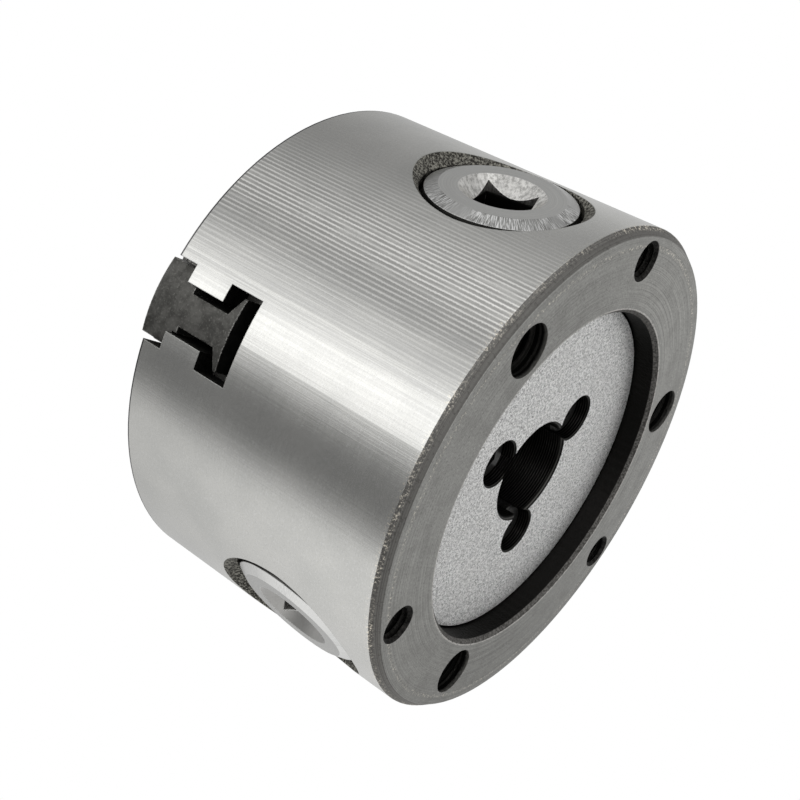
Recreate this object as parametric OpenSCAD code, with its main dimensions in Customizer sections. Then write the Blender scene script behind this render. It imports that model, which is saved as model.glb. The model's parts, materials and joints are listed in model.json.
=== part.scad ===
// Three-jaw self-centring lathe chuck, 80 mm class.
// The origin is the centre of the rear mounting face, +Z points to the front face and the
// jaws, and +X runs along jaw 1. Jaws sit at 0, 120 and 240 degrees, pinions halfway between.

/* [Body] */
// Outer diameter of the chuck body
body_d = 80; // [78:0.5:84]
// Length of the body from the rear face to the front face
body_h = 50; // [49.5:0.5:54]
// Diameter of the through bore
bore_d = 16; // [14:0.5:16]
// Diameter of the register recess that centres the chuck on its backplate
register_d = 55; // [55:0.5:56]
// Depth of the register recess, down to the rear cover
register_depth = 4; // [3.5:0.1:4.2]

/* [Mounting screws] */
// Pitch circle of the three tapped mounting holes
mount_pcd = 66; // [65:0.5:67]
// Thread diameter of the mounting holes
mount_thread_d = 6; // [5:0.5:6]
// Depth of the mounting holes
mount_depth = 14; // [10:1:18]

/* [Jaws] */
// Width of the wide guides of each jaw
jaw_w = 12.8; // [11:0.1:12.8]
// Length of a jaw along its slide
jaw_l = 30.3; // [28:0.1:31]
// Distance from the chuck axis to the outer end of a jaw, at rest
jaw_end_r = 38.9; // [35:0.1:40]
// Height of the tallest jaw step above the front face
jaw_rise = 16; // [12:0.5:18]
// Running clearance on each side of a guide
run_gap = 0.05; // [0.03:0.01:0.08]

/* [Scroll and gears] */
// Pitch of the scroll spiral, which is the jaw travel for one turn of the scroll
scroll_pitch = 4; // [4:0.1:4.2]
// Width of the scroll ridge
ridge_w = 1.8; // [1.6:0.05:1.9]
// Teeth on the scroll's bevel ring, a multiple of 3 that meshes alike with all pinions
ring_teeth = 36; // [36:6:36]
// Teeth on each pinion
pinion_teeth = 12; // [12:1:12]

/* [Pinions] */
// Diameter of a pinion head
head_d = 22; // [21:0.1:22]
// Distance from the chuck axis to the face of a pinion head
head_r = 39.3; // [38.5:0.1:39.6]
// Width across the flats of the square key socket
key_af = 8; // [7:0.5:8]
// Depth of the key socket
key_depth = 10; // [8:0.5:11]

/* [Hidden] */
$fn = 96;
eps = 0.01;                       // overlap that keeps a cut clear of a face

jaw_count = 3;
sector = 360 / jaw_count;
jaw_angles = [for (k = [0 : jaw_count - 1]) k * sector];
pinion_offset = sector / 2;       // pinions sit midway between the jaws
mount_offset = sector / 4;        // mounting holes sit midway between a jaw and a pinion

// Body edges
front_chamfer = 0.4;
rear_chamfer_h = 1.4;
rear_chamfer_w = 1.1;
register_bevel = 0.65;
relief_d = register_d + 1;        // relief groove at the bottom of the register
relief_w = 0.75;
bore_bevel = 0.5;

// Counterbore at the mouth of a mounting hole
mount_mouth_d = 7.8;
mount_mouth_h = 2;

// Inner cavity and boss
boss_d = 31;
boss_z = 12;                      // rear end of the boss, where the cover seats
cavity_top = 36.4;                // inner side of the front wall

// Jaw slot, an I-shaped guide cut right across the front wall
slot_w = jaw_w + 2 * run_gap;
neck_w = 7.5;
slot_floor = 33.15;
flange_top = 39.1;                // underside of the neck
head_floor = 46.1;                // top of the neck
waist_w = 5;
collar_w = 7;                     // thicker top of the waist, just under the head
collar_h = 0.8;
flange_h = 2.55;
flange_z = flange_top - run_gap - flange_h;
rack_z = slot_floor + 0.2;        // tips of the rack teeth

// Jaw steps, from the outer end inwards
step_l = 7.5;
outer_step_rise = 1.6;
step_count = 3;                   // raised steps on top of the outer one
step_rise = (jaw_rise - outer_step_rise) / step_count;
jaw_tip_r = jaw_end_r - jaw_l;
tip_half_w = 0.9;                 // flat at the very tip of the jaw
serration = 0.35;                 // depth of the gripping grooves

// The outer end of a jaw: a rounded end, set in from its slot all round
end_round_r = 22;
end_relief_l = 3.6;
end_head_w = 11.5;
end_foot_w = 10.9;
end_ear_h = 0.45;                 // height left at the tips of the foot
end_ear_root_h = 1.7;             // height left beside the waist
relief_x = jaw_end_r - end_relief_l;

// Rack teeth under a jaw, rounded to run in every turn of the spiral
rack_w = 12.4;
rack_tooth = scroll_pitch - ridge_w - 0.3;
rack_convex_r = 13;
rack_concave_r = 34;
rack_from = 13.2;
rack_to = 36.2;

// Scroll plate
scroll_in_r = boss_d / 2 + run_gap;
scroll_out_r = register_d / 2 - 0.1;
ridge_top = cavity_top - 0.15;
plate_top = 33.1;
ridge_start_r = scroll_in_r - scroll_pitch;
ridge_margin = 0.2;               // keeps the ridge off the plate's rims
ridge_end_w = 0.5;                // width left at the two ends of the ridge
ridge_step = 7.5;                 // angle between the points of the spiral
hub_r = 17.2;
hub_z = 23;

// Bevel gearing: every tooth runs to the point where the pinion axis meets the chuck axis
pinion_z = 19;
gear_out = 27.3;                  // radius at the large end of the teeth
gear_in = 17.5;                   // radius at the small end
gear_taper = gear_in / gear_out;
pinion_pitch_r = gear_out * pinion_teeth / ring_teeth;
pressure_angle = 20;
pinion_tip_r = pinion_pitch_r + 1.4;
pinion_root_r = pinion_pitch_r - 1.8;
pinion_half_tooth = 6.9;          // half tooth angle at the pitch circle, in degrees
ring_addendum = 1.05;
ring_dedendum = 1.75;
ring_half_tooth = 1.0;            // half thickness of a ring tooth at the pitch line

// Pinion journals, and the groove that its retaining screw runs in
head_clear = 0.05;
head_in = 28;
head_bevel_h = 0.8;
head_flat_r = 9.1;
groove_root_r = 8.1;
groove_w = 4.4;
pilot_r = 2.97;
pilot_in = 10;
countersink_r = 6.3;
pocket_r = 11.7;                  // clear space round the head, above the running fit
pocket_floor = 36.4;
pocket_cone_z = 38.3;             // where the pocket opens out as a 45 degree cone
pocket_cone_h = 2.5;

// Retaining screw of a pinion, parallel to the chuck axis
retainer_r = 35.3;                // distance from the chuck axis
retainer_offset = 17;             // angle past the pinion, in degrees
retainer_d = 6;
dog_d = 4;
retainer_head_z = 5.5;
retainer_shoulder_z = 10.4;
dog_tip_z = 20;
retainer_x = retainer_r * cos(retainer_offset);
groove_in = retainer_x - groove_w / 2;
groove_out = retainer_x + groove_w / 2;

// Rear cover and its three cap screws
cover_top = 8;
cover_hub_r = 17;
cover_gap = 0.03;
cover_bevel = 0.3;
screw_circle_r = 11.5;
screw_d = 4;
screw_head_d = 6.9;
screw_head_h = 4;
screw_seat_z = 10;
screw_tip_z = 22;
counterbore_d = 7.4;
clearance_d = 4.5;
hex_af = 3;
cover_hex_depth = 2.2;
retainer_hex_depth = 3;
hole_spare = 1.5;                 // depth of a screw hole past the tip of its screw

// ---------------------------------------------------------------- helpers

// Circumradius of a hexagon from its width across flats
function hex_r(af) = af / 2 / cos(30);

// The involute function, in degrees
function inv(a) = tan(a) * 180 / PI - a;

// Half tooth angle of the pinion at radius r
function half_tooth(r) = let (base_r = pinion_pitch_r * cos(pressure_angle))
  pinion_half_tooth + inv(pressure_angle) - inv(acos(min(1, base_r / r)));

// Radius of the spiral's centre line after turning by the angle a
function spiral_r(a) = ridge_start_r + scroll_pitch * a / 360;

module at_angle(a) rotate([0, 0, a]) children();

// Points a shape's +Z axis outwards along +X at the height of the pinions
module along_pinion() translate([0, 0, pinion_z]) rotate([0, 90, 0]) children();

// A cylinder between two heights
module rod(r, z0, z1) translate([0, 0, z0]) cylinder(r = r, h = z1 - z0);

// A box centred in X and Y between two heights
module post(x, y, z0, z1) translate([-x / 2, -y / 2, z0]) cube([x, y, z1 - z0]);

// A cone that breaks the edge of a hole of radius r which opens at height z towards -Z
module mouth_bevel(r, bevel, z)
  translate([0, 0, z - eps]) cylinder(r1 = r + bevel + eps, r2 = r, h = bevel + eps);

// A tapped hole with a plain mouth and ring-shaped thread grooves
module tapped_hole(d, depth, grooves, pitch) {
  core_r = d / 2 - 0.54 * pitch;
  translate([0, 0, -eps]) cylinder(r = core_r, h = depth);
  mouth_bevel(core_r, d / 2 - core_r + 0.1, 0);
  for (i = [1 : grooves])
    translate([0, 0, i * pitch])
      rotate_extrude()
        polygon([[0, -pitch / 2], [core_r, -pitch * 0.44], [d / 2, -pitch * 0.06],
          [d / 2, pitch * 0.06], [core_r, pitch * 0.44], [0, pitch / 2]]);
}

// ---------------------------------------------------------------- body

// Outer shell with its edges broken
module body_blank() {
  r = body_d / 2;
  rotate_extrude($fn = 180)
    polygon([[0, 0], [r - rear_chamfer_w, 0], [r, rear_chamfer_h],
      [r, body_h - front_chamfer], [r - front_chamfer, body_h], [0, body_h]]);
}

// Room for the cover, the scroll plate and the pinion gears, open to the rear
module body_cavity() {
  rod(register_d / 2, -eps, boss_z);
  mouth_bevel(register_d / 2, register_bevel, 0);
  rod(relief_d / 2, register_depth, register_depth + relief_w);
  difference() {
    rod(register_d / 2, boss_z - eps, cavity_top);
    rod(boss_d / 2, boss_z - 2 * eps, cavity_top + eps);
  }
}

// One I-shaped slot from the chuck axis out past the rim
module jaw_slot() {
  reach = body_d / 2 + 1;
  translate([0, -slot_w / 2, slot_floor]) cube([reach, slot_w, flange_top - slot_floor]);
  translate([0, -neck_w / 2, slot_floor]) cube([reach, neck_w, body_h + 1 - slot_floor]);
  translate([0, -slot_w / 2, head_floor]) cube([reach, slot_w, body_h + 1 - head_floor]);
}

// Bore, pocket and pilot hole for one pinion, with the hole for its retaining screw
module pinion_seat() {
  along_pinion() {
    rod(head_d / 2 + head_clear, boss_d / 2 + 6, body_d / 2 + 1);
    rod(pocket_r, pocket_floor, body_d / 2 + 1);
    translate([0, 0, pocket_cone_z])
      cylinder(r1 = pocket_r, r2 = pocket_r + pocket_cone_h, h = pocket_cone_h);
    rod(pilot_r + run_gap, pilot_in - 0.4, boss_d / 2 + 1);
  }
  at_angle(retainer_offset) translate([retainer_r, 0, 0]) {
    tapped_hole(retainer_d, retainer_head_z, 5, 1);
    rod(retainer_d / 2, retainer_head_z - 0.2, retainer_shoulder_z + 0.5);
    rod(dog_d / 2 + run_gap, retainer_shoulder_z, dog_tip_z + 0.5);
  }
}

// Mounting hole: a plain bore at thread size under a short counterbore
module mount_hole() translate([mount_pcd / 2, 0, 0]) {
  rod(mount_thread_d / 2, -eps, mount_depth);
  rod(mount_mouth_d / 2, -eps, mount_mouth_h);
}

module chuck_body() color([0.66, 0.66, 0.65]) difference() {
  body_blank();
  body_cavity();
  rod(bore_d / 2, -eps, body_h + eps);
  translate([0, 0, body_h - bore_bevel])
    cylinder(r1 = bore_d / 2, r2 = bore_d / 2 + bore_bevel + eps, h = bore_bevel + eps);
  for (a = jaw_angles) {
    at_angle(a) jaw_slot();
    at_angle(a) translate([screw_circle_r, 0, 0]) rod(screw_d / 2, boss_z - eps, screw_tip_z + hole_spare);
    at_angle(a + pinion_offset) pinion_seat();
    at_angle(a + mount_offset) mount_hole();
  }
}

// ---------------------------------------------------------------- scroll plate

// The spiral ridge as one long band, with its two ends worn down to the plate's rims
module spiral_ridge() {
  low = scroll_in_r + ridge_margin;
  high = scroll_out_r - ridge_margin;
  from = (low + ridge_end_w - ridge_w / 2 - ridge_start_r) * 360 / scroll_pitch;
  to = (high - ridge_end_w + ridge_w / 2 - ridge_start_r) * 360 / scroll_pitch;
  steps = ceil((to - from) / ridge_step);
  turn = [for (i = [0 : steps]) from + i * (to - from) / steps];
  outer = [for (a = turn) min(high, spiral_r(a) + ridge_w / 2) * [cos(a), sin(a)]];
  inner = [for (i = [steps : -1 : 0]) let (a = turn[i])
    max(low, spiral_r(a) - ridge_w / 2) * [cos(a), sin(a)]];
  polygon(concat(outer, inner));
}

// One tooth of the bevel ring, growing down from the plate
module ring_tooth() {
  tip = pinion_pitch_r - ring_addendum;
  root = pinion_pitch_r + ring_dedendum + 0.6;
  flank = tan(pressure_angle);
  tip_w = ring_half_tooth - ring_addendum * flank;
  root_w = ring_half_tooth + (root - pinion_pitch_r) * flank;
  translate([gear_out, 0, pinion_z]) rotate([0, -90, 0]) rotate([0, 0, 180])
    linear_extrude(height = gear_out - gear_in, scale = gear_taper)
      polygon([[-tip, -tip_w], [-root, -root_w], [-root, root_w], [-tip, tip_w]]);
}

module scroll_plate() color([0.45, 0.44, 0.43]) {
  root_out = pinion_z + pinion_pitch_r + ring_dedendum;
  root_in = pinion_z + (pinion_pitch_r + ring_dedendum) * hub_r / gear_out;
  rotate_extrude($fn = 180)
    polygon([[scroll_in_r, hub_z], [hub_r, hub_z], [hub_r, root_in], [gear_out, root_out],
      [scroll_out_r, root_out], [scroll_out_r, plate_top], [scroll_in_r, plate_top]]);
  translate([0, 0, plate_top - eps]) linear_extrude(height = ridge_top - plate_top + eps)
    spiral_ridge();
  for (i = [0 : ring_teeth - 1]) at_angle(i * 360 / ring_teeth) ring_tooth();
}

// ---------------------------------------------------------------- pinions

// Outline of the pinion gear at its large end, with a gap facing +X
module pinion_outline() {
  step = 360 / pinion_teeth;
  base_r = pinion_pitch_r * cos(pressure_angle);
  radii = [base_r, pinion_pitch_r - 0.2, pinion_pitch_r + 0.6, pinion_tip_r];
  polygon([for (i = [0 : pinion_teeth - 1]) let (mid = (i + 0.5) * step) each concat(
    [pinion_root_r * [cos(mid - half_tooth(base_r)), sin(mid - half_tooth(base_r))]],
    [for (r = radii) r * [cos(mid - half_tooth(r)), sin(mid - half_tooth(r))]],
    [for (j = [3 : -1 : 0]) let (r = radii[j]) r * [cos(mid + half_tooth(r)), sin(mid + half_tooth(r))]],
    [pinion_root_r * [cos(mid + half_tooth(base_r)), sin(mid + half_tooth(base_r))]])]);
}

// Head, journals and groove as one turned shape along +Z
module pinion_turned() {
  r = head_d / 2;
  rotate_extrude()
    polygon([[0, pilot_in], [pilot_r - 0.4, pilot_in], [pilot_r, pilot_in + 0.4],
      [pilot_r, gear_in + 1], [pinion_root_r - 1, gear_out - 2], [pinion_root_r - 1, head_in],
      [r - 0.3, head_in], [r, head_in + 0.3], [r, groove_in], [groove_root_r, groove_in],
      [groove_root_r, groove_out], [r, groove_out], [r, head_r - head_bevel_h],
      [head_flat_r, head_r], [0, head_r]]);
}

module pinion(k, socket_turn) color([0.6, 0.6, 0.59]) at_angle(jaw_angles[k] + pinion_offset)
  along_pinion() difference() {
    union() {
      pinion_turned();
      translate([0, 0, gear_out]) mirror([0, 0, 1])
        linear_extrude(height = gear_out - gear_in, scale = gear_taper)
          rotate([0, 0, 180]) pinion_outline();
      rod(pinion_root_r - 0.2, gear_out - eps, head_in + eps);
    }
    rotate([0, 0, socket_turn]) post(key_af, key_af, head_r - key_depth, head_r + 1);
    translate([0, 0, head_r - countersink_r + key_af / 2])
      cylinder(r1 = key_af / 2, r2 = countersink_r, h = countersink_r - key_af / 2);
    rod(countersink_r, head_r - eps, head_r + 1);
  }

module pinion_retaining_screw(k) color([0.2, 0.2, 0.2])
  at_angle(jaw_angles[k] + pinion_offset + retainer_offset) translate([retainer_r, 0, 0])
    difference() {
      rotate_extrude()
        polygon([[0, retainer_head_z], [retainer_d / 2 - 0.4, retainer_head_z],
          [retainer_d / 2, retainer_head_z + 0.4], [retainer_d / 2, retainer_shoulder_z - 0.4],
          [dog_d / 2, retainer_shoulder_z], [dog_d / 2, dog_tip_z - 0.4],
          [dog_d / 2 - 0.4, dog_tip_z], [0, dog_tip_z]]);
      translate([0, 0, retainer_head_z - eps]) cylinder(r = hex_r(hex_af), h = retainer_hex_depth, $fn = 6);
    }

// ---------------------------------------------------------------- rear cover

module rear_cover() color([0.8, 0.8, 0.79]) difference() {
  rotate_extrude($fn = 180)
    polygon([[0, register_depth], [register_d / 2 - cover_gap - cover_bevel, register_depth],
      [register_d / 2 - cover_gap, register_depth + cover_bevel],
      [register_d / 2 - cover_gap, cover_top], [cover_hub_r, cover_top], [cover_hub_r, boss_z],
      [0, boss_z]]);
  rod(bore_d / 2, register_depth - eps, boss_z + eps);
  mouth_bevel(bore_d / 2, bore_bevel, register_depth);
  for (a = jaw_angles) at_angle(a) translate([screw_circle_r, 0, 0]) {
    rod(counterbore_d / 2, register_depth - eps, screw_seat_z);
    mouth_bevel(counterbore_d / 2, 0.25, register_depth);
    rod(clearance_d / 2, screw_seat_z - eps, boss_z + eps);
  }
}

module cover_screw(k) color([0.12, 0.12, 0.12]) at_angle(jaw_angles[k])
  translate([screw_circle_r, 0, 0]) difference() {
    head_z = screw_seat_z - screw_head_h;
    rotate_extrude()
      polygon([[0, head_z], [screw_head_d / 2 - 0.3, head_z], [screw_head_d / 2, head_z + 0.3],
        [screw_head_d / 2, screw_seat_z], [screw_d / 2 - 0.02, screw_seat_z],
        [screw_d / 2 - 0.02, screw_tip_z - 0.4], [screw_d / 2 - 0.4, screw_tip_z],
        [0, screw_tip_z]]);
    translate([0, 0, head_z - eps]) cylinder(r = hex_r(hex_af), h = cover_hex_depth, $fn = 6);
  }

// ---------------------------------------------------------------- jaws

// Plan of a jaw of full width w: straight sides, a tip that fits a third of a turn, a round end
module jaw_plan(w, from_r, to_r) {
  tip_x = jaw_tip_r;
  shoulder_x = tip_x + (w / 2 - tip_half_w) / tan(pinion_offset);
  intersection() {
    polygon([[tip_x, -tip_half_w], [shoulder_x, -w / 2], [jaw_end_r, -w / 2],
      [jaw_end_r, w / 2], [shoulder_x, w / 2], [tip_x, tip_half_w]]);
    translate([from_r, -w]) square([to_r - from_r, 2 * w]);
    union() {
      translate([jaw_end_r - end_round_r, 0]) circle(r = end_round_r, $fn = 180);
      square([2 * (jaw_end_r - end_round_r), 2 * w], center = true);
    }
  }
}

// A slice of the jaw between two heights
module jaw_slice(w, z0, z1, from_r = 0, to_r = 100)
  translate([0, 0, z0]) linear_extrude(height = z1 - z0) jaw_plan(w, from_r, to_r);

// What is cut from both sides of the jaw at its outer end
module end_relief() translate([relief_x, 0, 0]) rotate([90, 0, 90])
  linear_extrude(height = end_relief_l + 1) for (side = [-1, 1])
    polygon([[side * end_head_w / 2, head_floor], [side * end_head_w / 2, 100],
      [side * slot_w, 100], [side * slot_w, flange_z - 1], [side * end_foot_w / 2, flange_z - 1],
      [side * end_foot_w / 2, flange_z + end_ear_h], [side * waist_w / 2, flange_z + end_ear_root_h],
      [side * waist_w / 2, flange_top], [side * slot_w / 2, flange_top], [side * slot_w / 2, head_floor]]);

// Plan of a rack tooth whose centre line crosses the jaw's middle at radius r
module rack_tooth_plan(r) intersection() {
  translate([r + rack_tooth / 2 - rack_convex_r, 0]) circle(r = rack_convex_r);
  difference() {
    translate([r - rack_tooth / 2, -rack_w / 2]) translate([-3, 0]) square([8, rack_w]);
    translate([r - rack_tooth / 2 - rack_concave_r, 0]) circle(r = rack_concave_r, $fn = 180);
  }
}

// Grooves across the outward face of a step that ends at radius r and height z
module step_serrations(r, z) for (i = [1 : 4])
  translate([r, 0, z - i]) rotate([90, 0, 0]) linear_extrude(height = jaw_w + 2, center = true)
    polygon([[eps, -serration], [-serration, 0], [eps, serration]]);

module jaw(k) color([0.33, 0.31, 0.29]) at_angle(jaw_angles[k]) {
  jaw_slice(waist_w, flange_top - run_gap - eps, head_floor + run_gap + eps);
  jaw_slice(collar_w, head_floor - collar_h, head_floor + run_gap + eps);
  difference() {
    union() {
      jaw_slice(jaw_w, flange_z, flange_top - run_gap);
      jaw_slice(jaw_w, head_floor + run_gap, body_h + outer_step_rise);
      for (i = [0 : step_count - 1]) jaw_slice(jaw_w, body_h + outer_step_rise + i * step_rise - eps,
        body_h + outer_step_rise + (i + 1) * step_rise, to_r = jaw_tip_r + (step_count - i) * step_l);
    }
    end_relief();
    for (i = [0 : step_count - 1]) step_serrations(jaw_tip_r + (step_count - i) * step_l,
      body_h + outer_step_rise + (i + 1) * step_rise);
  }
  // Grooves of the spiral cross jaw k at this phase of the pitch
  phase = ridge_start_r + scroll_pitch * (k / jaw_count + 0.5);
  for (n = [0 : 12]) let (r = phase + n * scroll_pitch) if (r > rack_from && r < rack_to)
    translate([0, 0, rack_z]) linear_extrude(height = flange_z - rack_z + eps) rack_tooth_plan(r);
}

// ---------------------------------------------------------------- assembly

chuck_body();
scroll_plate();
rear_cover();
jaw(0);  // jaw_1
jaw(1);  // jaw_2
jaw(2);  // jaw_3
pinion(0, 11);  // pinion_1
pinion(1, 0);  // pinion_2
pinion(2, 0);  // pinion_3
pinion_retaining_screw(0);  // pinion_retaining_screw_1
pinion_retaining_screw(1);  // pinion_retaining_screw_2
pinion_retaining_screw(2);  // pinion_retaining_screw_3
cover_screw(0);  // cover_screw_1
cover_screw(1);  // cover_screw_2
cover_screw(2);  // cover_screw_3
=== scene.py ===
"""Looks of the three-jaw lathe chuck: materials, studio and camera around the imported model.

Everything is in metres in the row frame: the chuck axis is Z, the rear face lies at z = 0,
the jaws are at the top and jaw 1 points along +X. Shader patterns work in millimetres.
"""
import json
import math
from types import SimpleNamespace

import bpy
from mathutils import Matrix, Vector

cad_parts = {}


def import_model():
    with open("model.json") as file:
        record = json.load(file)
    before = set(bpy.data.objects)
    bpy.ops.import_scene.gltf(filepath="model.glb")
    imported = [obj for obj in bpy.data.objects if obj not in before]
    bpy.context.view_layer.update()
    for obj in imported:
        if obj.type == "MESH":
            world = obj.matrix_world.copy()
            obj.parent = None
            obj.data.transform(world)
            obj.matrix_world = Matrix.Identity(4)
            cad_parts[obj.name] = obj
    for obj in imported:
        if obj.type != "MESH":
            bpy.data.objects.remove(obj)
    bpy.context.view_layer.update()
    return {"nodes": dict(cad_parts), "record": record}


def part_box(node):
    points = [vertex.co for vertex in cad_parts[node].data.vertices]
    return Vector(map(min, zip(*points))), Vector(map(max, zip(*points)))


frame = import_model()

MM = 1000.0                       # millimetres in a metre
mounts = {m["name"]: m for m in frame["record"]["mounts"]}
body_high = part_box("chuck_body")[1]
BODY_R = body_high.x * MM
BODY_H = body_high.z * MM
REGISTER_R = mounts["register"]["dims"]["r_mm"]
BORE_R = mounts["through_bore"]["dims"]["r_mm"]
COVER_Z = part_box("rear_cover")[0].z * MM
PINION_Z = mounts["key_socket_1"]["pos_m"][2] * MM
PINION_FACE = Vector(mounts["key_socket_1"]["pos_m"]).xy.length * MM
PINION_ANGLES = (60.0, 180.0, 300.0)
JAW_ANGLES = (0.0, 120.0, 240.0)
JAW_STEP = 120.0                  # angle from one jaw to the next
RACK_Z = 36.4                     # underside of a jaw's wide guide, where its rack teeth begin
TOOL_MARKS = 0.42                 # pitch of the tool marks in the bore
EDGE_NEAR, EDGE_FULL = 0.990, 0.930  # agreement of the true and rounded normals at an edge, for worn edges and painted shade lines


# ------------------------------------------------------------------ node helpers

class Graph:
    """A node tree with short calls. Every argument may be a number, a tuple or a socket."""

    def __init__(self, tree):
        self.tree = tree
        tree.nodes.clear()

    def node(self, kind, **settings):
        made = self.tree.nodes.new("ShaderNode" + kind)
        for name, value in settings.items():
            setattr(made, name, value)
        return made

    def feed(self, socket, value):
        if value is None:
            return
        if isinstance(value, bpy.types.NodeSocket):
            self.tree.links.new(value, socket)
        elif socket.type == "RGBA" and len(value) == 3:
            socket.default_value = (*value, 1.0)
        else:
            socket.default_value = value

    def math(self, operation, a, b=None, c=None, clamp=False):
        made = self.node("Math", operation=operation, use_clamp=clamp)
        for socket, value in zip(made.inputs, (a, b, c)):
            self.feed(socket, value)
        return made.outputs[0]

    def add(self, a, b):
        return self.math("ADD", a, b)

    def sub(self, a, b):
        return self.math("SUBTRACT", a, b)

    def mul(self, a, b):
        return self.math("MULTIPLY", a, b)

    def step(self, x, low, high):
        """0 below low and 1 above high, smooth between; reversed if high is under low."""
        made = self.node("MapRange", interpolation_type="SMOOTHSTEP")
        low_first = low <= high
        self.feed(made.inputs["Value"], x)
        made.inputs["From Min"].default_value = min(low, high)
        made.inputs["From Max"].default_value = max(low, high)
        made.inputs["To Min"].default_value = 0.0 if low_first else 1.0
        made.inputs["To Max"].default_value = 1.0 if low_first else 0.0
        return made.outputs["Result"]

    def between(self, x, low, high, soft=0.02):
        """1 where x lies between low and high, with edges of width soft."""
        return self.mul(self.step(x, low - soft, low), self.step(x, high + soft, high))

    def span(self, x, low, high):
        """Maps 0..1 onto low..high."""
        return self.math("MULTIPLY_ADD", x, high - low, low)

    def mix(self, factor, a, b):
        """Mixes two colours."""
        made = self.node("Mix", data_type="RGBA")
        self.feed(made.inputs["Factor"], factor)
        self.feed(made.inputs[6], a)
        self.feed(made.inputs[7], b)
        return made.outputs[2]

    def blend(self, factor, a, b):
        """Mixes two numbers."""
        made = self.node("Mix", data_type="FLOAT")
        self.feed(made.inputs["Factor"], factor)
        self.feed(made.inputs[2], a)
        self.feed(made.inputs[3], b)
        return made.outputs[0]

    def grey(self, value, tint=(1.0, 1.0, 1.0)):
        """A colour of the given brightness and tint."""
        made = self.node("Mix", data_type="RGBA", blend_type="MULTIPLY")
        made.inputs["Factor"].default_value = 1.0
        joined = self.node("CombineColor")
        for socket in joined.inputs[:3]:
            self.feed(socket, value)
        self.feed(made.inputs[6], joined.outputs[0])
        self.feed(made.inputs[7], tint)
        return made.outputs[2]

    def vector(self, x, y, z):
        made = self.node("CombineXYZ")
        for socket, value in zip(made.inputs, (x, y, z)):
            self.feed(socket, value)
        return made.outputs[0]

    def noise(self, at, scale, detail=3.0, rough=0.55, warp=0.0):
        made = self.node("TexNoise")
        self.feed(made.inputs["Vector"], at)
        made.inputs["Scale"].default_value = scale
        made.inputs["Detail"].default_value = detail
        made.inputs["Roughness"].default_value = rough
        made.inputs["Distortion"].default_value = warp
        return made.outputs["Fac"]

    def cells(self, at, scale, feature="F1", output="Distance"):
        made = self.node("TexVoronoi", feature=feature)
        self.feed(made.inputs["Vector"], at)
        made.inputs["Scale"].default_value = scale
        return made.outputs[output]

    def bump(self, height, depth_mm, normal=None):
        """A bump whose height runs from 0 to 1 over depth_mm."""
        made = self.node("Bump")
        made.inputs["Strength"].default_value = 1.0
        made.inputs["Distance"].default_value = depth_mm / MM
        self.feed(made.inputs["Height"], height)
        self.feed(made.inputs["Normal"], normal)
        return made.outputs["Normal"]

    def worn_edges(self, radius_mm):
        """The surface normal with every edge rounded a little."""
        made = self.node("Bevel", samples=4)
        made.inputs["Radius"].default_value = radius_mm / MM
        return made.outputs[0]

    def edges(self, worn):
        """1 along the edges of the surface, where the rounded normal leaves the true one."""
        dot = self.node("VectorMath", operation="DOT_PRODUCT")
        self.feed(dot.inputs[0], worn)
        self.feed(dot.inputs[1], self.node("NewGeometry").outputs["True Normal"])
        return self.step(dot.outputs["Value"], EDGE_NEAR, EDGE_FULL)

    def choose(self, factor, a, b):
        """Mixes two normals."""
        made = self.node("Mix", data_type="VECTOR")
        self.feed(made.inputs["Factor"], factor)
        self.feed(made.inputs[4], a)
        self.feed(made.inputs[5], b)
        return made.outputs[1]


def cylinder_coords(g, angle=0.0, along=(0.0, 0.0, 1.0), centre=(0.0, 0.0, 0.0)):
    """Object position in mm as (point, radius, angle in radians, height) about an axis."""
    position = g.node("TexCoord").outputs["Object"]
    scaled = g.node("VectorMath", operation="SCALE")
    g.feed(scaled.inputs[0], position)
    scaled.inputs["Scale"].default_value = MM
    moved = g.node("VectorMath", operation="SUBTRACT")
    g.feed(moved.inputs[0], scaled.outputs[0])
    moved.inputs[1].default_value = centre
    axis = Vector(along).normalized()
    helper = Vector((0.0, 0.0, 1.0)) if abs(axis.z) < 0.9 else Vector((1.0, 0.0, 0.0))
    first = (helper - axis * helper.dot(axis)).normalized()
    if abs(axis.z) > 0.9:
        first = Matrix.Rotation(math.radians(angle), 3, "Z") @ first
    second = axis.cross(first)
    parts = []
    for direction in (first, second, axis):
        dot = g.node("VectorMath", operation="DOT_PRODUCT")
        g.feed(dot.inputs[0], moved.outputs[0])
        dot.inputs[1].default_value = direction
        parts.append(dot.outputs["Value"])
    x, y, h = parts
    radius = g.math("SQRT", g.math("MULTIPLY_ADD", x, x, g.mul(y, y)))
    turn = g.math("ARCTAN2", y, x)
    return g.vector(x, y, h), radius, turn, h


def tool_marks(g, z):
    """Ripples along the axis, as a boring tool leaves them."""
    return g.math("SINE", g.mul(z, 2 * math.pi / TOOL_MARKS))


def metal(g, colour, rough, normal, anisotropic=0.0, metallic=1.0, around="Z"):
    """The shader and output of a metal."""
    shader = g.node("BsdfPrincipled")
    g.feed(shader.inputs["Base Color"], colour)
    g.feed(shader.inputs["Roughness"], rough)
    g.feed(shader.inputs["Normal"], normal)
    shader.inputs["Metallic"].default_value = metallic
    shader.inputs["Anisotropic"].default_value = anisotropic
    if anisotropic:
        tangent = g.node("Tangent", direction_type="RADIAL", axis=around)
        g.feed(shader.inputs["Tangent"], tangent.outputs[0])
    out = g.node("OutputMaterial")
    g.tree.links.new(shader.outputs[0], out.inputs["Surface"])


def material(name):
    made = bpy.data.materials.new(name)
    made.use_nodes = True
    return made, Graph(made.node_tree)


def dress(node, made):
    """Gives a CAD node one material in every slot."""
    data = frame["nodes"][node].data
    data.materials.clear()
    data.materials.append(made)


# ------------------------------------------------------------------ chuck body

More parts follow.
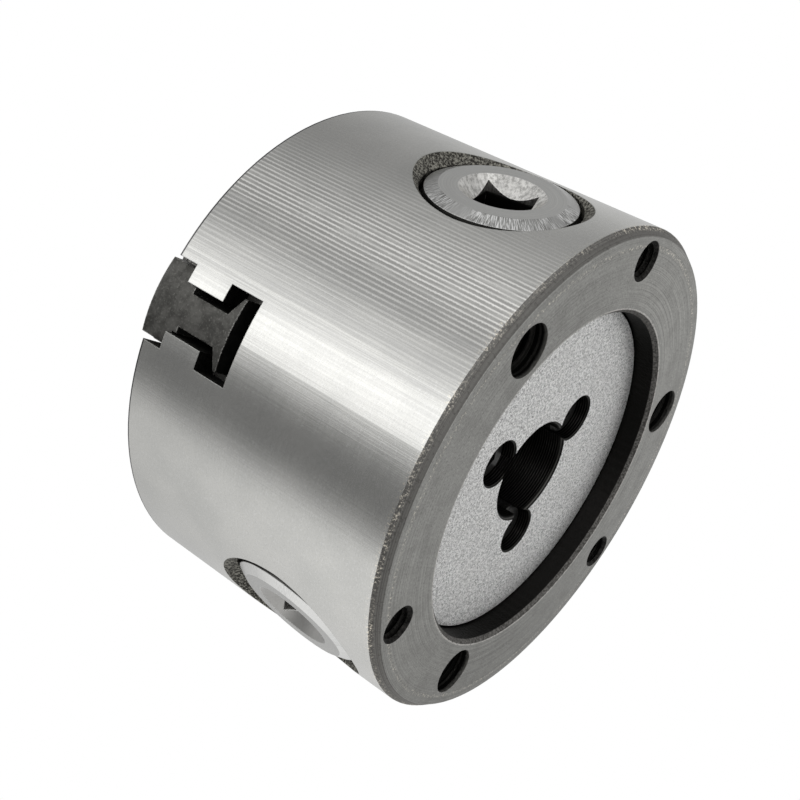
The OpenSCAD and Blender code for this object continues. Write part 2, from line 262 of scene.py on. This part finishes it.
REAR_CHAMFER_H = 1.4
REAR_CHAMFER_R = BODY_R - 1.1     # radius at the inner edge of the rear chamfer
FRONT_CHAMFER = 0.4
POCKET_LOW, POCKET_HIGH = 4.5, 33.1  # heights between which the pinion pockets cut the rim
POCKET_R = 37.2                   # radius where the walls of a pocket change from painted deep shade to the rough cut colour
REGISTER_TOP = 8.0                # the register and its relief groove end below this height
LIP_H = 0.64                      # the bevel at the register's mouth, as far as it looks worn
LIP_R = REGISTER_R + 0.8
DOTS_R = 37.25                    # inner radius of the dotted arc on the rear face
DOTS_WIDTH = 0.35
CHATTER_WAVES = 366.0             # chatter ripples round the body, about 0.7 mm apart
CHATTER_AT = 30.0                 # angle past each jaw where the chatter and its painted highlight and shade lines are strongest
CHATTER_TIGHTNESS = 11.0          # how quickly it fades on both sides
STREAKS_AT = 14.0                 # angle past each jaw where the long streaks and their painted shade are strongest
STREAKS_TIGHTNESS = 9.0
EDGE_WEAR = 0.16
MOUNT_R = mounts["mounting_holes"]["dims"]["pcd_mm"] / 2
MOUNT_HOLE_R = 3.9
MOUNT_DEPTH = 14.0
MOUNT_PITCH = 1.0                 # pitch of the thread in the mounting holes
JAW_TO_MOUNT = 30.0               # angle from a jaw to the mounting hole past it
PALE_SPECKS = (0.98, 0.92, 0.80)        # the pale specks on the rear edge, painted glints on its worn spots


def past_jaws(g, turn, angle, tightness):
    """1 at this angle past each jaw, falling to 0 on both sides."""
    jaws = len(JAW_ANGLES)
    wave = g.math("COSINE", g.math("MULTIPLY_ADD", turn, jaws, -jaws * math.radians(angle)))
    return g.math("POWER", g.math("MULTIPLY_ADD", wave, 0.5, 0.5, clamp=True), tightness)


def body_zones(g, radius, z):
    """Masks that are 1 on one kind of surface each."""
    on = SimpleNamespace()
    on.outer = g.step(radius, BODY_R - 0.06, BODY_R - 0.03)
    on.rear = g.step(z, 0.06, 0.03)
    low = g.mul(g.step(z, REAR_CHAMFER_H - 0.01, REAR_CHAMFER_H - 0.03), g.sub(1.0, on.rear))
    on.chamfer = g.mul(g.step(radius, REAR_CHAMFER_R - 0.05, REAR_CHAMFER_R), low)
    on.front = g.step(z, BODY_H - 0.05, BODY_H - 0.02)
    high = g.step(z, BODY_H - FRONT_CHAMFER + 0.01, BODY_H - FRONT_CHAMFER + 0.03)
    near_edge = g.mul(g.step(radius, BODY_R - 1.0, BODY_R - 0.9), g.sub(1.0, on.front))
    on.front_rim = g.mul(high, near_edge)
    on.bore = g.step(radius, BORE_R + 0.06, BORE_R + 0.03)
    on.pocket = g.mul(g.between(z, POCKET_LOW, POCKET_HIGH, 0.1), g.step(radius, POCKET_R, POCKET_R + 1.2))
    near_register = g.between(radius, REGISTER_R - 0.1, REGISTER_R + 1.2, 0.1)
    on.register = g.mul(near_register, g.step(z, REGISTER_TOP + 1.0, REGISTER_TOP))
    return on


def body_textures(g, point, radius, turn, z):
    """The noises and lines that the surfaces of the body share."""
    arc = g.mul(turn, BODY_R)
    t = SimpleNamespace()

    # Ground outside: grain across the axis, streaks and dashes along it
    t.grind = g.noise(g.vector(g.mul(z, 7.0), g.mul(arc, 0.14), radius), 1.0, 4.0, 0.65)
    streak = g.noise(g.vector(g.mul(arc, 1.5), g.mul(z, 0.022), 0.0), 1.0, 3.0, 0.62)
    fine_streak = g.noise(g.vector(g.mul(arc, 5.0), g.mul(z, 0.07), 4.0), 1.0, 2.0, 0.6)
    t.lines = g.add(g.mul(streak, 0.75), g.mul(fine_streak, 0.30))
    t.dashes = g.noise(g.vector(g.mul(z, 3.2), g.mul(arc, 1.6), 6.0), 1.0, 2.0, 0.7)
    t.cloud = g.noise(point, 0.11, 3.0, 0.5)
    t.grit = g.noise(point, 5.0, 2.0, 0.6)

    # Chatter: ripples along the axis, strongest in one patch after each jaw; the colour also carries them
    # as painted highlight and shade lines
    wander = g.noise(g.vector(g.mul(arc, 0.35), g.mul(z, 0.06), 9.0), 1.0, 2.0, 0.5)
    phase = g.add(g.mul(wander, 3.0), g.mul(t.dashes, 2.2))
    t.wave = g.math("SINE", g.math("MULTIPLY_ADD", turn, CHATTER_WAVES, phase))
    broken = g.noise(g.vector(g.mul(arc, 1.1), g.mul(z, 0.13), 2.0), 1.0, 2.0, 0.5)
    patch = past_jaws(g, turn, CHATTER_AT, CHATTER_TIGHTNESS)
    t.strength = g.mul(patch, g.span(g.step(broken, 0.28, 0.56), 0.30, 1.0))
    t.streaked = past_jaws(g, turn, STREAKS_AT, STREAKS_TIGHTNESS)

    # Turned end faces: rings about the axis
    t.rings = g.noise(g.vector(g.mul(radius, 2.4), g.mul(turn, 0.5), 0.0), 1.0, 3.0, 0.7)
    t.fine_rings = g.noise(g.vector(g.mul(radius, 11.0), g.mul(turn, 0.8), 3.0), 1.0, 2.0, 0.6)
    t.speckle = g.noise(point, 2.6, 4.0, 0.7)
    t.blotch = g.noise(point, 0.30, 3.0, 0.6)
    t.dots = g.step(g.noise(point, 2.6, 3.0, 0.80), 0.53, 0.62)

    # Rough cut pockets and the bore
    t.coarse = g.noise(point, 1.6, 5.0, 0.7, 0.4)
    t.pits = g.cells(point, 1.9)
    t.bore_lines = tool_marks(g, z)
    return t


def hollow_colours(g, t, on, radius, turn, z):
    """Colours of the pockets, the bore, the mounting holes and the register, painted dark as painted shade
    in these hollows.
    """
    # Insides painted near black: painted shade, lighter only on the rough cut walls near the rim
    colour = g.mix(g.step(t.coarse, 0.35, 0.70), (0.012, 0.012, 0.011), (0.050, 0.048, 0.045))
    rough_cut = g.mix(g.step(t.speckle, 0.44, 0.62), (0.045, 0.043, 0.038), (0.36, 0.35, 0.31))
    colour = g.mix(on.pocket, colour, rough_cut)
    # The bore painted dark with lighter tool marks: painted shade in the bore
    bored = g.mix(g.step(t.bore_lines, 0.2, 0.9), (0.020, 0.019, 0.018), (0.17, 0.165, 0.155))
    colour = g.mix(on.bore, colour, bored)

    # Distance from the nearest mounting hole, with the circle folded onto one hole
    folded = g.math("PINGPONG", g.add(turn, math.radians(360.0 - JAW_TO_MOUNT)), math.radians(JAW_STEP / 2))
    across = g.mul(radius, g.math("SINE", folded))
    out_from = g.sub(g.mul(radius, g.math("COSINE", folded)), MOUNT_R)
    from_hole = g.math("SQRT", g.add(g.mul(across, across), g.mul(out_from, out_from)))
    wall = g.step(from_hole, MOUNT_HOLE_R + 0.2, MOUNT_HOLE_R + 0.1)
    thread = g.mul(g.between(z, 0.05, MOUNT_DEPTH, 0.1), wall)
    turns = g.math("SINE", g.math("MULTIPLY_ADD", z, 2 * math.pi / MOUNT_PITCH, turn))
    # Threads painted near black: painted shade deep in the mounting holes
    threaded = g.mix(g.step(turns, 0.1, 0.8), (0.012, 0.012, 0.011), (0.070, 0.068, 0.063))
    colour = g.mix(thread, colour, threaded)
    mouth = g.mul(g.step(z, 0.75, 0.25), g.step(from_hole, MOUNT_HOLE_R - 0.3, MOUNT_HOLE_R - 0.1))
    colour = g.mix(g.mul(thread, mouth), colour, (0.24, 0.236, 0.222))

    # The register's wall painted near black: painted shade in the recess
    recess = g.mix(g.step(t.fine_rings, 0.3, 0.7), (0.008, 0.008, 0.007), (0.024, 0.023, 0.022))
    return g.mix(on.register, colour, recess)


def rear_colours(g, t, on, colour, radius, z):
    """Adds the rear face with its dotted arc, the chamfer and the lip of the register."""
    face = g.mix(g.step(t.fine_rings, 0.30, 0.70), (0.262, 0.261, 0.248), (0.448, 0.445, 0.424))
    face = g.mix(g.mul(g.step(t.speckle, 0.52, 0.68), 0.42), face, (0.62, 0.617, 0.585))
    face = g.mix(g.mul(g.step(t.speckle, 0.46, 0.34), 0.42), face, (0.105, 0.104, 0.098))
    face = g.mix(g.mul(g.step(t.blotch, 0.40, 0.75), 0.35), face, (0.22, 0.217, 0.205))
    colour = g.mix(on.rear, colour, face)
    # The rear chamfer painted darker than the face: painted shade over its turned rings and specks
    chamfer = g.mix(g.step(t.fine_rings, 0.3, 0.7), (0.155, 0.150, 0.141), (0.255, 0.250, 0.237))
    chamfer = g.mix(g.mul(g.step(t.speckle, 0.48, 0.34), 0.6), chamfer, (0.09, 0.086, 0.080))
    colour = g.mix(on.chamfer, colour, chamfer)
    dotted = g.mul(g.mul(t.dots, on.rear), g.between(radius, DOTS_R, DOTS_R + DOTS_WIDTH, 0.25))
    colour = g.mix(g.mul(dotted, 0.60), colour, PALE_SPECKS)
    lip = g.mul(g.between(z, 0.06, LIP_H, 0.03), g.step(radius, LIP_R, LIP_R - 0.08))
    lip_colour = g.mix(g.step(t.speckle, 0.40, 0.64), (0.080, 0.077, 0.072), (0.21, 0.203, 0.192))
    colour = g.mix(g.mul(lip, g.step(radius, REGISTER_R - 1.0, REGISTER_R)), colour, lip_colour)
    edge = g.mul(on.rear, g.between(radius, REGISTER_R + 0.60, REGISTER_R + 0.82, 0.06))
    edge = g.mul(edge, g.step(t.speckle, 0.36, 0.54))
    return g.mix(g.mul(edge, 0.75), colour, (0.68, 0.66, 0.63))


def ground_colours(g, t, z):
    """Colours of the ground outside, with its dashes, its streaks and chatter, which also carry painted
    highlight and painted shade lines, and a painted dark band along the front edge.
    """
    skin = g.mix(g.step(t.cloud, 0.3, 0.7), (0.605, 0.605, 0.582), (0.668, 0.665, 0.638))
    skin = g.mix(g.mul(g.step(t.grit, 0.50, 0.68), 0.30), skin, (0.46, 0.46, 0.46))
    skin = g.mix(g.mul(g.step(t.dashes, 0.50, 0.68), 0.22), skin, (0.84, 0.84, 0.84))
    # Dark streaks painted where the highlight's edge falls: painted shade over real streak marks
    streaks = g.mul(g.step(t.lines, 0.60, 0.48), g.mul(t.streaked, 0.40))
    skin = g.mix(streaks, skin, (0.42, 0.42, 0.415))
    # Chatter painted into the colour as dark troughs and near-white crests: painted shade and painted
    # highlight lines over the real ripples
    skin = g.mix(g.mul(g.step(t.wave, 0.3, -0.5), g.mul(t.strength, 0.70)), skin, (0.33, 0.325, 0.315))
    skin = g.mix(g.mul(g.step(t.wave, 0.45, 0.85), g.mul(t.strength, 0.95)), skin, (1.0, 0.99, 0.96))
    # A band along the front edge painted dark: a painted dark reflection of the front chamfer
    return g.mix(g.step(z, BODY_H - 0.66, BODY_H - 0.60), skin, (0.10, 0.10, 0.10))


def body_normal(g, t, on, worn):
    """Bumps of the ground outside, the turned ends, the bore and the rough insides."""
    height = g.add(g.mul(g.mul(t.wave, t.strength), 0.30), g.mul(t.lines, g.span(t.streaked, 1.0, 2.4)))
    ground = g.bump(g.add(height, g.mul(t.grind, 0.10)), 0.0105, worn)
    cuts = g.add(g.mul(t.fine_rings, 0.8), g.mul(t.speckle, 0.18))
    turned = g.bump(g.add(g.mul(t.rings, 0.4), cuts), 0.022, worn)
    rough = g.bump(g.add(t.coarse, g.mul(t.pits, 0.5)), 0.12, worn)
    bored = g.bump(g.math("MULTIPLY_ADD", t.bore_lines, 0.5, g.mul(t.fine_rings, 0.3)), 0.05, worn)
    ends = g.math("MAXIMUM", g.math("MAXIMUM", on.rear, on.front), on.chamfer)
    normal = g.choose(on.outer, rough, ground)
    normal = g.choose(ends, normal, turned)
    return g.choose(on.bore, normal, bored)


def body_material():
    made, g = material("ground_body")
    point, radius, turn, z = cylinder_coords(g)
    worn = g.worn_edges(EDGE_WEAR)
    on = body_zones(g, radius, z)
    t = body_textures(g, point, radius, turn, z)

    colour = hollow_colours(g, t, on, radius, turn, z)
    colour = rear_colours(g, t, on, colour, radius, z)
    colour = g.mix(on.outer, colour, ground_colours(g, t, z))

    # Pale specks along the rear edge, painted glints on its worn spots, in a band whose strength wanders
    thickness = g.span(g.step(t.cloud, 0.36, 0.60), 0.15, 1.0)
    worn_glints = g.mul(g.mul(t.dots, thickness), g.mul(g.step(z, 0.60, 1.10), g.step(z, 2.3, 1.5)))
    worn_glints = g.mul(worn_glints, g.step(radius, REAR_CHAMFER_R - 0.1, REAR_CHAMFER_R))
    colour = g.mix(worn_glints, colour, PALE_SPECKS)

    front = g.mix(g.step(t.rings, 0.3, 0.7), (0.55, 0.55, 0.545), (0.64, 0.64, 0.63))
    colour = g.mix(on.front, colour, front)
    # Dark lines along the edges of the outside: painted shade on the rounded edges
    edge = g.mul(g.edges(worn), g.mul(on.outer, g.step(z, 1.6, 2.0)))
    colour = g.mix(g.mul(edge, 0.6), colour, (0.16, 0.158, 0.150))
    # The front chamfer painted dark: a painted dark reflection
    colour = g.mix(on.front_rim, colour, (0.14, 0.14, 0.14))

    rough = g.blend(on.outer, 0.60, g.span(t.grind, 0.17, 0.29))
    rough = g.blend(on.rear, rough, g.span(t.blotch, 0.40, 0.52))
    rough = g.blend(on.front, rough, 0.34)
    rough = g.blend(on.bore, rough, 0.36)
    metal(g, colour, rough, body_normal(g, t, on, worn), anisotropic=0.45)
    return made


# ------------------------------------------------------------------ other parts

def cover_material():
    made, g = material("blasted_cover")
    point, _, _, z = cylinder_coords(g)
    face = g.step(z, COVER_Z + 0.05, COVER_Z + 0.02)
    grit = g.noise(point, 2.3, 3.0, 0.85)
    fine = g.noise(point, 3.9, 2.0, 0.85)
    cloud = g.noise(point, 0.16, 2.0, 0.5)
    colour = g.mix(g.step(grit, 0.40, 0.58), (0.62, 0.62, 0.615), (1.0, 1.0, 0.99))
    colour = g.mix(g.mul(g.step(fine, 0.56, 0.63), 0.85), colour, (0.13, 0.13, 0.128))
    colour = g.mix(g.mul(g.step(cloud, 0.35, 0.7), 0.15), colour, (0.70, 0.69, 0.67))
    lines = tool_marks(g, z)
    # Everything but the blasted face painted near black with tool marks: painted shade in the bore and the
    # ears
    wall = g.mix(g.step(lines, 0.2, 0.9), (0.010, 0.010, 0.009), (0.085, 0.082, 0.077))
    colour = g.mix(face, wall, colour)
    worn = g.worn_edges(0.10)
    blasted = g.bump(g.add(g.mul(grit, 0.8), g.mul(fine, 0.5)), 0.11, worn)
    turned = g.bump(g.math("MULTIPLY_ADD", lines, 0.5, g.mul(fine, 0.4)), 0.05, worn)
    metal(g, colour, g.blend(face, 0.38, 0.58), g.choose(face, turned, blasted))
    return made


HEAD_FLAT_R = 9.1                 # radius of the flat ring on a pinion head
HEAD_BEVEL_H = 0.8
COUNTERSINK_R = 6.3
COUNTERSINK_H = 2.3
BEVEL_CUTS = 64.0                 # scale of the tool marks round the bevel of a pinion head

# How each pinion was machined and painted: strength of the marks on its bevel and of the scratches in its
# countersink, and painted light and shade as the brightness of its countersink, of its flat ring and of the
# unmarked bevel
CUT_DEPTH = (1.0, 0.55, 0.22)
SCRATCH_DEPTH = (0.85, 0.60, 0.10)
SINK_PAINTED_LIGHT = (1.0, 0.80, 0.62)
FLAT_PAINTED_LIGHT = (1.22, 1.10, 0.95)
BEVEL_PAINTED_LIGHT = (0.50, 0.60, 0.82)


def toned(shade, colour):
    """A colour made brighter or darker."""
    return tuple(shade * level for level in colour)


def pinion_material(index):
    made, g = material(f"turned_pinion_{index + 1}")
    angle = math.radians(PINION_ANGLES[index])
    outward = (math.cos(angle), math.sin(angle), 0.0)
    point, radius, turn, h = cylinder_coords(g, along=outward, centre=(0.0, 0.0, PINION_Z))
    marks = CUT_DEPTH[index]
    scored = SCRATCH_DEPTH[index]
    smooth = BEVEL_PAINTED_LIGHT[index]

    # Surfaces of the head: bevel, countersink, the side below, and the socket deep inside, painted near
    # black as painted shade
    low = PINION_FACE - HEAD_BEVEL_H
    sink_low = PINION_FACE - COUNTERSINK_H
    bevel = g.mul(g.step(radius, HEAD_FLAT_R - 0.02, HEAD_FLAT_R + 0.02), g.step(h, low - 0.05, low + 0.02))
    sink = g.mul(g.step(radius, COUNTERSINK_R + 0.05, COUNTERSINK_R), g.step(h, sink_low - 0.1, sink_low))
    side = g.mul(g.step(h, low, low - 0.05), g.step(radius, COUNTERSINK_R + 0.1, COUNTERSINK_R + 0.4))
    deep = g.mul(g.step(h, low - 0.4, low - 2.0), g.step(radius, COUNTERSINK_R - 0.1, COUNTERSINK_R - 0.5))

    rings = g.noise(g.vector(g.mul(radius, 4.0), g.mul(turn, 0.4), g.mul(h, 4.0)), 1.0, 3.0, 0.6)
    fine_rings = g.noise(g.vector(g.mul(radius, 13.0), g.mul(turn, 0.6), 2.0), 1.0, 2.0, 0.6)
    spokes = g.noise(g.vector(g.mul(turn, BEVEL_CUTS), g.mul(radius, 0.6), 0.0), 1.0, 2.0, 0.7)
    scratch = g.noise(g.vector(g.mul(turn, 9.0), g.mul(radius, 1.6), 1.0), 1.0, 4.0, 0.7)
    patchy = g.step(g.noise(g.vector(g.mul(turn, 1.1), 0.0, 5.0), 1.0, 1.0, 0.5), 0.38, 0.56)
    grain = g.noise(point, 4.5, 3.0, 0.6)

    flat = g.mix(g.step(fine_rings, 0.3, 0.7), toned(FLAT_PAINTED_LIGHT[index], (0.43, 0.43, 0.42)),
                 toned(FLAT_PAINTED_LIGHT[index], (0.52, 0.52, 0.505)))
    flat = g.mix(g.mul(g.step(grain, 0.54, 0.70), 0.4), flat, (0.74, 0.74, 0.72))
    # Tool marks on the bevel: their near-white lines are painted highlight on real marks
    cut = g.mix(g.step(spokes, 0.42, 0.60), (0.30, 0.30, 0.29), (0.97, 0.97, 0.96))
    cut = g.mix(g.span(patchy, 0.12 * marks, marks), toned(smooth, (1.0, 1.0, 0.98)), cut)
    colour = g.mix(bevel, flat, cut)
    contrast = g.span(g.step(scratch, 0.34, 0.62), 0.5 - 0.5 * scored, 0.5 + 0.5 * scored)
    bright = g.mix(contrast, toned(SINK_PAINTED_LIGHT[index], (0.40, 0.395, 0.38)),
                   toned(SINK_PAINTED_LIGHT[index], (0.93, 0.92, 0.89)))
    colour = g.mix(sink, colour, bright)
    side_colour = g.mix(g.step(rings, 0.3, 0.7), (0.20, 0.198, 0.19), (0.32, 0.317, 0.305))
    colour = g.mix(side, colour, side_colour)
    # The socket painted near black: painted shade
    colour = g.mix(g.mul(deep, g.sub(1.0, sink)), colour, (0.020, 0.019, 0.018))
    worn = g.worn_edges(0.15)
    rim = g.mul(g.edges(worn), g.step(grain, 0.34, 0.56))
    colour = g.mix(g.mul(rim, g.mul(g.sub(1.0, side), 0.55)), colour, (0.90, 0.90, 0.89))

    rough = g.blend(sink, g.span(rings, 0.30, 0.42), 0.30)
    cuts = g.mul(spokes, g.span(patchy, 0.1 * marks, 0.9 * marks))
    height = g.blend(bevel, g.mul(fine_rings, 0.35), cuts)
    height = g.blend(sink, height, g.mul(scratch, 0.35 * scored))
    metal(g, colour, rough, g.bump(height, 0.045, worn))
    return made


def jaw_material(index):
    made, g = material(f"hardened_jaw_{index + 1}")
    point, _, _, z = cylinder_coords(g, angle=-JAW_ANGLES[index])
    mottle = g.noise(point, 0.50, 5.0, 0.65, 0.3)
    fine = g.noise(point, 2.6, 3.0, 0.65)
    rack = g.step(z, RACK_Z + 0.3, RACK_Z)
    colour = g.mix(g.step(mottle, 0.34, 0.68), (0.062, 0.061, 0.057), (0.128, 0.126, 0.118))
    colour = g.mix(g.mul(g.step(fine, 0.52, 0.72), 0.55), colour, (0.21, 0.208, 0.194))
    # The rack below the guide painted near black: painted shade under the jaw's guide
    colour = g.mix(g.mul(rack, 0.7), colour, (0.020, 0.019, 0.018))
    worn = g.worn_edges(0.30)
    burr = g.mul(g.edges(worn), g.step(fine, 0.38, 0.60))
    colour = g.mix(g.mul(burr, 0.9), colour, (0.62, 0.61, 0.58))
    rough = g.span(mottle, 0.46, 0.62)
    height = g.add(g.mul(mottle, 0.5), g.mul(fine, 0.35))
    metal(g, colour, rough, g.bump(height, 0.035, worn))
    return made


def screw_material():
    made, g = material("black_fastener")
    point = cylinder_coords(g)[0]
    grain = g.noise(point, 2.5, 3.0, 0.6)
    colour = g.mix(g.step(grain, 0.35, 0.7), (0.018, 0.018, 0.018), (0.06, 0.058, 0.055))
    metal(g, colour, g.span(grain, 0.30, 0.50), g.bump(grain, 0.02), metallic=0.8)
    return made


def scroll_material():
    made, g = material("machined_steel")
    point, radius, turn, z = cylinder_coords(g)
    rings = g.noise(g.vector(g.mul(radius, 4.0), g.mul(turn, 0.5), g.mul(z, 2.0)), 1.0, 3.0, 0.6)
    stain = g.noise(point, 0.3, 3.0, 0.5)
    colour = g.mix(g.step(rings, 0.3, 0.7), (0.26, 0.255, 0.245), (0.40, 0.39, 0.375))
    colour = g.mix(g.mul(g.step(stain, 0.45, 0.7), 0.5), colour, (0.16, 0.14, 0.11))
    metal(g, colour, g.span(rings, 0.30, 0.45), g.bump(rings, 0.02))
    return made


# ------------------------------------------------------------------ studio

# Levels of the surround by compass angle about the chuck axis: they stand for the
# softboxes, grey cards and dark gaps whose bands the ground body reflects
SURROUND = (
    (-180, 0.54), (-163, 0.44), (-145, 0.62), (-110, 0.68), (-75, 0.80), (-60, 0.80),  # card on the -Y side
    (-50, 0.36), (-42, 0.16), (-28, 0.17), (-16, 0.24),                                # dark gap
    (-9, 0.95), (-4, 1.80), (10, 1.80), (17, 1.05), (30, 0.88),                        # key light
    (40, 0.46), (47, 0.44), (54, 0.80), (64, 0.70), (76, 0.54),                        # card beside it
    (92, 0.38), (105, 0.33), (125, 0.43), (150, 0.53), (170, 0.60), (180, 0.54),       # card on the +Y side
)
OVERHEAD = 0.46                   # share of the brightest level, straight up and straight down
KEY_FROM = (180.0 - 46.0) / 360.0  # the two sides of the key light and the dark gap before it,
KEY_TO = (180.0 + 40.0) / 360.0    # as shares of the full circle
LOW_SIDE = (-0.35, 1.50)          # direction in which the surround is brighter low down
PAPER_WHITE = 1.0


def surround_ramp(g, compass, brightest):
    """The surround's level, as a share of the brightest, by compass angle from 0 to 1."""
    ramp = g.node("ValToRGB")
    stops = ramp.color_ramp.elements
    while len(stops) > 1:
        stops.remove(stops[-1])
    for i, (angle, value) in enumerate(SURROUND):
        place = (angle + 180.0) / 360.0
        stop = stops[0] if i == 0 else stops.new(place)
        stop.position = place
        level = value / brightest
        stop.color = (level, level, level, 1.0)
    g.feed(ramp.inputs[0], compass)
    return ramp.outputs[0]


def world():
    made = bpy.data.worlds.new("studio")
    bpy.context.scene.world = made
    made.use_nodes = True
    g = Graph(made.node_tree)
    direction = g.node("TexCoord").outputs["Generated"]
    split = g.node("SeparateXYZ")
    g.feed(split.inputs[0], direction)
    x, y, z = split.outputs
    compass = g.math("MULTIPLY_ADD", g.math("ARCTAN2", y, x), 0.5 / math.pi, 0.5)
    brightest = max(level for _, level in SURROUND)
    bands = surround_ramp(g, compass, brightest)
    # Away from the key light the surround is brighter low down than high up
    before = g.step(compass, KEY_FROM, KEY_FROM - 0.03)
    off_key = g.math("MAXIMUM", before, g.step(compass, KEY_TO, KEY_TO + 0.03))
    dimming = g.mul(g.step(z, 0.42, 0.70), off_key)
    falling = g.math("MULTIPLY_ADD", dimming, -0.36, g.span(off_key, 1.0, 1.18))
    # Low down it is dark on one side and bright on the other
    low_down = g.step(z, -0.50, -0.64)
    side = g.math("MULTIPLY_ADD", x, LOW_SIDE[0], g.math("MULTIPLY_ADD", y, LOW_SIDE[1], -0.15))
    falling = g.mul(falling, g.math("MULTIPLY_ADD", low_down, side, 1.0))
    # The surround evens out towards straight up and straight down
    upright = g.step(g.math("ABSOLUTE", z), 0.80, 0.97)
    banded = g.mix(upright, g.grey(falling, bands), (OVERHEAD, OVERHEAD, OVERHEAD))
    studio = g.node("Background")
    g.feed(studio.inputs["Color"], banded)
    studio.inputs["Strength"].default_value = brightest
    paper = g.node("Background")
    paper.inputs["Color"].default_value = (PAPER_WHITE, PAPER_WHITE, PAPER_WHITE, 1.0)
    seen = g.node("LightPath").outputs["Is Camera Ray"]
    both = g.node("MixShader")
    g.feed(both.inputs[0], seen)
    g.tree.links.new(studio.outputs[0], both.inputs[1])
    g.tree.links.new(paper.outputs[0], both.inputs[2])
    out = g.node("OutputWorld")
    g.tree.links.new(both.outputs[0], out.inputs["Surface"])


FLOOR_REACH = 1.2                 # half the width of the floor, in metres
FLOOR_GAP = 0.0004                # how far it lies under the rear face


def floor():
    """A pale floor under the rear face, seen from above only, so that it never hides the part."""
    mesh = bpy.data.meshes.new("floor")
    signs = ((-1, -1), (1, -1), (1, 1), (-1, 1))
    corners = [(x * FLOOR_REACH, y * FLOOR_REACH, 0.0) for x, y in signs]
    mesh.from_pydata(corners, [], [(0, 1, 2, 3)])
    made = bpy.data.objects.new("floor", mesh)
    made.location.z = -FLOOR_GAP
    bpy.context.scene.collection.objects.link(made)
    paint, g = material("floor")
    shader = g.node("BsdfPrincipled")
    shader.inputs["Base Color"].default_value = (0.80, 0.80, 0.80, 1.0)
    shader.inputs["Roughness"].default_value = 0.7
    clear = g.node("BsdfTransparent")
    both = g.node("MixShader")
    g.feed(both.inputs[0], g.node("NewGeometry").outputs["Backfacing"])
    g.tree.links.new(shader.outputs[0], both.inputs[1])
    g.tree.links.new(clear.outputs[0], both.inputs[2])
    out = g.node("OutputMaterial")
    g.tree.links.new(both.outputs[0], out.inputs["Surface"])
    mesh.materials.append(paint)
    made.visible_diffuse = False
    made.visible_glossy = False
    made.visible_transmission = False
    made.visible_shadow = False


# ------------------------------------------------------------------ camera

CAMERA_AT = (0.16928, 0.01932, -0.06656)
CAMERA_AIM = (-0.00444, -0.01766, 0.02538)
CAMERA_ROLL = 57.67               # clockwise turn of the camera about its line of sight, in degrees
CAMERA_LENS = 54.26
CAMERA_SHIFT = (0.0143, 0.1361)


def camera():
    data = bpy.data.cameras.new("camera")
    data.sensor_width = 36.0
    data.lens = CAMERA_LENS
    data.shift_x, data.shift_y = CAMERA_SHIFT
    data.clip_start, data.clip_end = 0.01, 10.0
    data.dof.use_dof = False
    made = bpy.data.objects.new("camera", data)
    sight = (Vector(CAMERA_AIM) - Vector(CAMERA_AT)).normalized()
    level = sight.to_track_quat("-Z", "Y").to_matrix()
    roll = Matrix.Rotation(math.radians(-CAMERA_ROLL), 3, "Z")
    made.matrix_world = (level @ roll).to_4x4()
    made.location = CAMERA_AT
    bpy.context.scene.collection.objects.link(made)
    bpy.context.scene.camera = made


# ------------------------------------------------------------------ build

camera()
world()
floor()
bpy.context.scene.view_settings.view_transform = "Standard"

dress("chuck_body", body_material())
dress("rear_cover", cover_material())
dress("scroll_plate", scroll_material())
black = screw_material()
for k in range(len(JAW_ANGLES)):
    dress(f"pinion_{k + 1}", pinion_material(k))
    dress(f"jaw_{k + 1}", jaw_material(k))
    dress(f"pinion_retaining_screw_{k + 1}", black)
    dress(f"cover_screw_{k + 1}", black)
